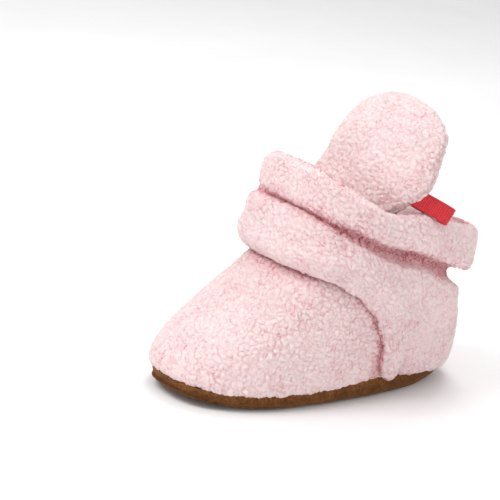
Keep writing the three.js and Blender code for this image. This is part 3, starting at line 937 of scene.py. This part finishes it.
def make_tongue():
    """A stuffed fleece lobe with a sunken seam round its side, sewn down at the throat."""
    points, faces = tongue_cage(depth=1.0)
    tongue = add_piece("tongue_fleece", tongue_to_foot(points), faces, FLEECE, None, "fleece",
                       "tongue_front", "tongue_back", "tongue_batting")
    voxel, sewn_height, bend_height = 2.0, 7.0, 14.0
    stuff(tongue, voxel, pressure=5.0, cap=3.0,
          pinned=lambda start: foot_to_tongue(start)[:, 2] < sewn_height)
    relax(tongue.data, 3)
    run_modifier(tongue, "SUBSURF", levels=2, render_levels=2)
    fill_outline(tongue.data, tongue_to_foot(np.array(points)))
    mesh = tongue.data
    placed, normals = read_points(mesh), read_points(mesh, normals=True)
    local = foot_to_tongue(placed)
    facing = np.abs(foot_to_tongue(placed + normals)[:, 1] - local[:, 1])
    off_seam = local[:, 1] - tongue_curl(local[:, 0] - tongue_shift(local[:, 2]))
    seam = np.exp(-(off_seam / 1.1) ** 2) * (1 - smoothstep(0.35, 0.75, facing))
    seam *= smoothstep(8, 16, local[:, 2])
    push_out(mesh, 0.7 * value_noise(placed, 13, 77) - 1.3 * seam)
    raise_fleece(tongue, seed=31)
    finish_surface(mesh, FLEECE)
    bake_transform(tongue)


# ---------------------------------------------------------------- label
LABEL_HEIGHT = 6.2
LABEL_REACH = 8.8
LABEL_SUNK = 8.0
LABEL_ROOT = (29.0, 7.9, 33.4)  # where its lower edge leaves the tongue, in the tongue's frame
LABEL_TURN = math.radians(48)


def make_label():
    """A blank ribbon folded into a loop, with raised selvedges. It starts inside the tongue."""
    half, thickness, hem = 0.85, 0.6, 0.3
    end = LABEL_REACH - half
    straight = np.linspace(-LABEL_SUNK, end, 50)
    bend = np.linspace(-math.pi / 2, math.pi / 2, 16)[1:-1]
    path = np.concatenate([
        np.stack([straight, np.full(50, -half)], 1),
        np.stack([end + half * np.cos(bend), half * np.sin(bend)], 1),
        np.stack([straight[::-1], np.full(50, half)], 1),
    ])
    away = path[:, 0]
    belly = 0.55 * np.sin(math.pi * np.clip(away / LABEL_REACH, 0, 1)) * np.sign(path[:, 1])
    sway = 0.5 * np.sin(away / 5.0)
    across = hem_spacing(LABEL_HEIGHT, hem, 0.3)
    grid = np.empty((len(path), len(across), 3))
    aside = path[:, 1] + belly + sway
    cosine, sine = math.cos(LABEL_TURN), math.sin(LABEL_TURN)
    grid[..., 0] = (LABEL_ROOT[0] + away * cosine - aside * sine)[:, None]
    grid[..., 1] = (LABEL_ROOT[1] + away * sine + aside * cosine)[:, None]
    grid[..., 2] = LABEL_ROOT[2] + across[None, :] + 0.06 * (away[:, None] - 3)
    edge = np.minimum(across, LABEL_HEIGHT - across)
    selvedge = 0.12 * np.exp(-((edge - 0.8) / 0.3) ** 2)
    tapers = np.tile(hem_taper(across, LABEL_HEIGHT, hem), (len(path), 1))
    tapers[0] = tapers[-1] = 0
    grid += grid_normals(grid) * selvedge[None, :, None]
    points, faces = pillow(grid, thickness, tapers)
    add_piece("side_label_loop", tongue_to_foot(points), faces, RIBBON, "label", "label",
              "side_label")


# ---------------------------------------------------------------- sole
def revolve(fronts, backs, halves, heights, centres, columns=420):
    """A closed solid through level rings from the middle of its underside to the middle of its
    top. Each ring is a superellipse, and the two centres close the ends."""
    angle = (2 * math.pi * np.arange(columns) / columns)[:, None]
    x, y = superellipse(fronts, backs, halves, angle)
    grid = np.stack([x, y, np.broadcast_to(heights, x.shape)], axis=-1)
    return closed_tube(grid, centres)


def make_sole():
    """A suede dish with pressed ovals underneath and its edge turned up around the fleece."""
    flat_front, rim_height = TOE_SPRING_START + 2, 5.7
    middle = (flat_front + BACK - 5) / 2
    # From the middle of the underside up over the rim: front, inset from the edge and height.
    section = np.array([(front, BACK - inset, SOLE_HALF_WIDTH - inset, z) for front, inset, z in (
        (flat_front, 5, 0),
        (FRONT + 4, 3, 0.6),
        (FRONT + 2.4, 1.3, 1.8),
        (FRONT + 1.7, 0.7, 3.4),
        (FRONT + 1.9, 1.1, 5.0),
        (FRONT + 2.7, 1.9, rim_height),
        (FRONT + 3.4, 2.6, 5.0),
        (FRONT + 4.5, 4.5, 2.4),
        (flat_front, 7, 1.6),
    )])
    knots = np.arange(len(section), dtype=float)
    ring = smooth_table(knots, section, np.linspace(0, knots[-1], 110))
    shrink = np.linspace(0.02, 0.985, 60)[:, None]
    point = np.array([middle, middle, 0, 0])
    below = point + shrink * (ring[0] - point)
    top_middle = np.array([middle, middle, 0, ring[-1, 3]])
    upper = top_middle + np.linspace(0.97, 0.05, 14)[:, None] * (ring[-1] - top_middle)
    rows = np.concatenate([below, ring, upper])
    points, faces = revolve(*rows.T, [[0, middle, 0], [0, middle, ring[-1, 3]]])
    underside = points[:, 2] < 0.001
    first_oval, pitch, half_width, half_length = -9, 16, 11, 5
    for centre in first_oval + pitch * np.arange(4):
        oval = np.hypot(points[:, 0] / half_width, (points[:, 1] - centre) / half_length)
        pressed = 0.45 * (1 - smoothstep(0.9, 1.0, oval)) - 0.3 * (1 - smoothstep(0.5, 0.62, oval))
        points[:, 2] += np.where(underside, pressed, 0)
    rim = np.clip(points[:, 2] / rim_height, 0, 1)
    edge = np.interp(points[:, 1], *zip(*FLEECE_EDGE))
    # Painted highlight: the top of the turned-up rim is paler, as if lit from above, with random
    # paler patches.
    highlit_rim_and_mottle = 0.7 * smoothstep(0.55, 0.95, rim) + 0.25 * value_noise(points, 4, 91)
    points[:, 2] += (edge + 1.2 - rim_height) * rim ** 1.5 + toe_spring(points[:, 1], 0)
    nap = 0.06 * value_noise(points, 0.9, 92) + 0.12 * value_noise(points, 5, 93)
    points[:, 2] += np.where(underside, 0, nap * smoothstep(0.1, 1.5, points[:, 2]))
    sole = add_piece("sole_suede", points, faces, SUEDE, "root", "suede", "outsole")
    set_attribute(sole.data, "rim_highlight_and_mottle", np.clip(0.12 + 0.6 * highlit_rim_and_mottle, 0, 1))


# ---------------------------------------------------------------- lining and insole
LINING = foot_rings(
    (5, 9, -5, 20.5),
    (9, 5.5, -3, 22.8),
    (15, 7, -2.4, 23.4),
    (22, 13, -2, 23.4),
    (29, 22, -3, 23.2),
    (36, 32, -5.5, 23.2),
    (43, 41, -9, 23.4),
    (50, 45.6, -11.4, 24),
    (72, 45.6, -11.4, 24),
)


def plush(piece, seed, pile=0.28):
    """Raises a short even pile on a piece."""
    points = read_points(piece.data)
    nap = value_noise(points, 1.1, seed) + 0.6 * value_noise(points, 9, seed + 1)
    push_out(piece.data, pile * nap)


def make_lining():
    """The plush inside of the foot and of the back of the ankle."""
    thickness, hem, step = 1.5, 0.8, 0.9
    bottom, full_top, throat_top, below_collar = 5, 72, 42, 9
    heights = np.linspace(bottom, full_top, 300)
    profile = ring_length(LINING, BACK_ANGLE, heights)
    sweep = np.linspace(FRONT_ANGLE, FRONT_ANGLE - 2 * math.pi, 900)
    around = ring_length(LINING, sweep, WIDEST_HEIGHT)
    along = hem_spacing(around[-1], hem, step)
    angle = np.interp(along, around, sweep)
    side = ring_points(LINING, angle, 50)[:, 1]
    collar = WRAP_TOP - below_collar - COLLAR_SLOPE * (side - THROAT[1])
    top = throat_top + (collar - throat_top) * smoothstep(2, 12, side)
    up = hem_spacing(profile[-1], hem, step)
    share = (np.interp(up, profile, heights) - bottom) / (full_top - bottom)
    outer = ring_points(LINING, angle[:, None], bottom + share * (top - bottom)[:, None])
    points, faces = pillow(outer, thickness, border_taper(along, up, hem))
    lining = add_piece("foot_lining", points, faces, PLUSH, "root", "lining",
                       "vamp_lining", "quarter_lining")
    plush(lining, 61)


def cushion(front, back, half, low, high, rise=1.0):
    """A closed flat pad with a rounded rim, which follows a share of the toe's curl."""
    middle, soft = (front + back) / 2, (high - low) / 2
    rim = np.linspace(-math.pi / 2, math.pi / 2, 12)
    shrunk = soft * (1 - np.cos(rim))
    rows = np.stack([front + shrunk, back - shrunk, half - shrunk,
                     low + soft + soft * np.sin(rim)], axis=1)
    shares = np.linspace(0.02, 0.99, 40)[:, None]
    lowest, highest = (np.array([middle, middle, 0, z]) for z in (low, high))
    table = np.concatenate([lowest + shares * (rows[0] - lowest), rows,
                            highest + shares[::-1] * (rows[-1] - highest)])
    points, faces = revolve(*table.T, [[0, middle, low], [0, middle, high]], columns=220)
    points[:, 2] += rise * toe_spring(points[:, 1], 0)
    return points, faces


def make_insole():
    """A soft plush pad for the foot to lie on."""
    points, faces = cushion(FRONT + 8.5, BACK - 5.5, 20.0, 4.7, 6.2, 0.6)
    plush(add_piece("insole_plush", points, faces, PLUSH, "root", "lining", "insole"), 67, 0.2)


def make_midsole():
    """A thin foam pad between the suede and the plush."""
    inset = 5.5
    points, faces = cushion(FRONT + inset, BACK - inset, SOLE_HALF_WIDTH - inset, 2.4, 4.2)
    plush(add_piece("midsole_foam", points, faces, FOAM, "root", "foam", "midsole_pad"), 71, 0.06)


def make_seam_thread():
    """The twisted thread of the seam inside the edge of the sole."""
    inset, height, radius, strand, lay = 4.1, 4.4, 0.34, 0.07, 1.6
    steps, sides = 1400, 12
    ring = (inset, -inset, SOLE_HALF_WIDTH - inset)
    turn = 2 * math.pi * np.arange(steps) / steps
    path = ring_points(foot_rings((0, *ring), (10, *ring)), turn, np.full(steps, height))
    ahead = np.roll(path, -1, axis=0) - np.roll(path, 1, axis=0)
    ahead /= np.linalg.norm(ahead, axis=1)[:, None]
    aside = np.cross(ahead, [0.0, 0.0, 1.0])
    above = np.cross(aside, ahead)
    travel = np.cumsum(np.linalg.norm(path - np.roll(path, 1, axis=0), axis=1))
    twists = round(travel[-1] / lay)
    around = (2 * math.pi * np.arange(sides) / sides)[None, :]
    reach = radius + strand * np.cos(3 * around - 2 * math.pi * twists
                                     * (travel / travel[-1])[:, None])
    grid = path[:, None] + (reach * np.cos(around))[..., None] * aside[:, None] \
        + (reach * np.sin(around))[..., None] * above[:, None]
    index = np.arange(steps * sides).reshape(steps, sides)
    after, beside = np.roll(index, -1, axis=0), np.roll(index, -1, axis=1)
    faces = np.stack([index, beside, np.roll(beside, -1, axis=0), after], -1).reshape(-1, 4)
    add_piece("sole_seam_stitching", grid.reshape(-1, 3), faces.tolist(), THREAD, "root",
              "thread", "sole_seam_thread")


def make_tape(kind, body, outset, inward, relief):
    """A strip of hook or loop tape on a flap, with a relief inside its plain margin. The relief
    is on the inner or the outer face."""
    hem, step, thickness, margin = 0.45, 0.25, 1.0, 1.3
    middle = (TAPE_LOW + TAPE_HIGH) / 2
    rings = ankle(outset)
    first, last = (angle_at(rings, y, middle, -1) for y in (TAPE_FRONT + 0.1, TAPE_BACK))
    sweep = np.linspace(first, last, 200)
    around = ring_length(rings, sweep, middle)
    along, up = (hem_spacing(length, hem, step) for length in (around[-1], TAPE_HIGH - TAPE_LOW))
    outer = ring_points(rings, np.interp(along, around, sweep)[:, None], TAPE_LOW + up[None, :])
    points, faces = pillow(outer, thickness, border_taper(along, up, hem))
    tape = add_piece(kind + "_patch", points, faces, TAPE, body, kind, kind)
    inside = np.minimum(np.minimum(along, along[-1] - along)[:, None],
                        np.minimum(up, up[-1] - up)[None, :]) > margin
    bumps = relief(along[:, None], up[None, :]) * inside
    rise = np.zeros(len(points))
    if inward:
        rise[bumps.size:] = bumps[1:-1, 1:-1].ravel()
    else:
        rise[:bumps.size] = bumps.ravel()
    push_out(tape.data, rise)


def hooks(along, up):
    """Rows of small stiff hooks."""
    turns = 2 * math.pi / 1.25
    return 0.32 * np.clip(np.cos(turns * along) * np.cos(turns * up), 0, 1) ** 0.6


def loops(along, up):
    """A low tangle of soft loops."""
    flat = np.stack(np.broadcast_arrays(along, up, 0 * along), axis=-1)
    first, second = nearest_cells(flat.reshape(-1, 3), 0.9, 5)
    return (0.3 * smoothstep(0, 0.5, second - first)).reshape(flat.shape[:-1])


make_tongue()
make_label()
make_tape("loop_tape", "inner_flap", 4.75, False, loops)
make_tape("hook_tape", "outer_flap", 6.2, True, hooks)
make_sole()
make_lining()
make_insole()
make_midsole()
make_seam_thread()


# ---------------------------------------------------------------- stage
def direction(azimuth, elevation):
    """The unit vector towards a viewer. Azimuth 0 is in front of the toe."""
    turn, rise = math.radians(azimuth), math.radians(elevation)
    return Vector((math.sin(turn) * math.cos(rise), -math.cos(turn) * math.cos(rise),
                   math.sin(rise)))


def make_stage():
    """A pale seamless floor and soft studio lights."""
    bpy.ops.mesh.primitive_plane_add(size=6, location=(0, 0, 0))
    floor = bpy.context.object
    floor.name = "floor"
    shader = Shader("floor_paper")
    tone = shader.ramp(shader.noise(60, detail=2), (0.3, (0.93, 0.93, 0.935, 1)),
                       (0.7, (0.96, 0.96, 0.96, 1)))
    shader.set(Base_Color=tone, Roughness=0.7, Specular_IOR_Level=0.2)
    floor.data.materials.append(shader.material)

    world = bpy.data.worlds.new("studio")
    bpy.context.scene.world = world
    world.use_nodes = True
    background = world.node_tree.nodes["Background"]
    background.inputs["Color"].default_value = (1.0, 0.99, 0.99, 1)
    background.inputs["Strength"].default_value = 0.68

    centre = (Vector(cad_box[0]) + Vector(cad_box[1])) / 2
    for name, azimuth, elevation, distance, size, power in (  # degrees, metres and watts
            ("key", -12, 50, 0.8, 0.4, 3.1),
            ("fill", 70, 30, 0.9, 0.6, 1.3),
            ("back", 225, 62, 0.8, 0.35, 2.2),
    ):
        light = bpy.data.lights.new(name, "AREA")
        light.size = size
        light.energy = power
        lamp = add_object(name, light)
        away = direction(azimuth, elevation)
        lamp.location = centre + distance * away
        lamp.rotation_euler = away.to_track_quat("Z", "Y").to_euler()


CAMERA_AZIMUTH = 50
CAMERA_ELEVATION = 16
CAMERA_ROLL = math.radians(8)
CAMERA_DISTANCE = 0.7
LENS = 148.7
AIM_HEIGHT = 0.046
AIM_SHIFT = -0.0226


def make_camera():
    """The camera looks at the outer side from a little above, rolled a few degrees."""
    forward = -direction(CAMERA_AZIMUTH, CAMERA_ELEVATION)
    level = direction(CAMERA_AZIMUTH + 90, 0)
    upright = level.cross(forward)
    right = math.cos(CAMERA_ROLL) * level + math.sin(CAMERA_ROLL) * upright
    up = math.cos(CAMERA_ROLL) * upright - math.sin(CAMERA_ROLL) * level
    aim = Vector((0, 0, AIM_HEIGHT)) + AIM_SHIFT * right
    data = bpy.data.cameras.new("camera")
    data.lens = LENS
    data.sensor_width = 36
    camera = add_object("camera", data)
    camera.matrix_world = Matrix.Translation(aim - CAMERA_DISTANCE * forward) @ Matrix(
        (right, up, -forward)).transposed().to_4x4()
    bpy.context.scene.camera = camera


make_stage()
make_camera()
bpy.context.scene.view_settings.view_transform = "Standard"
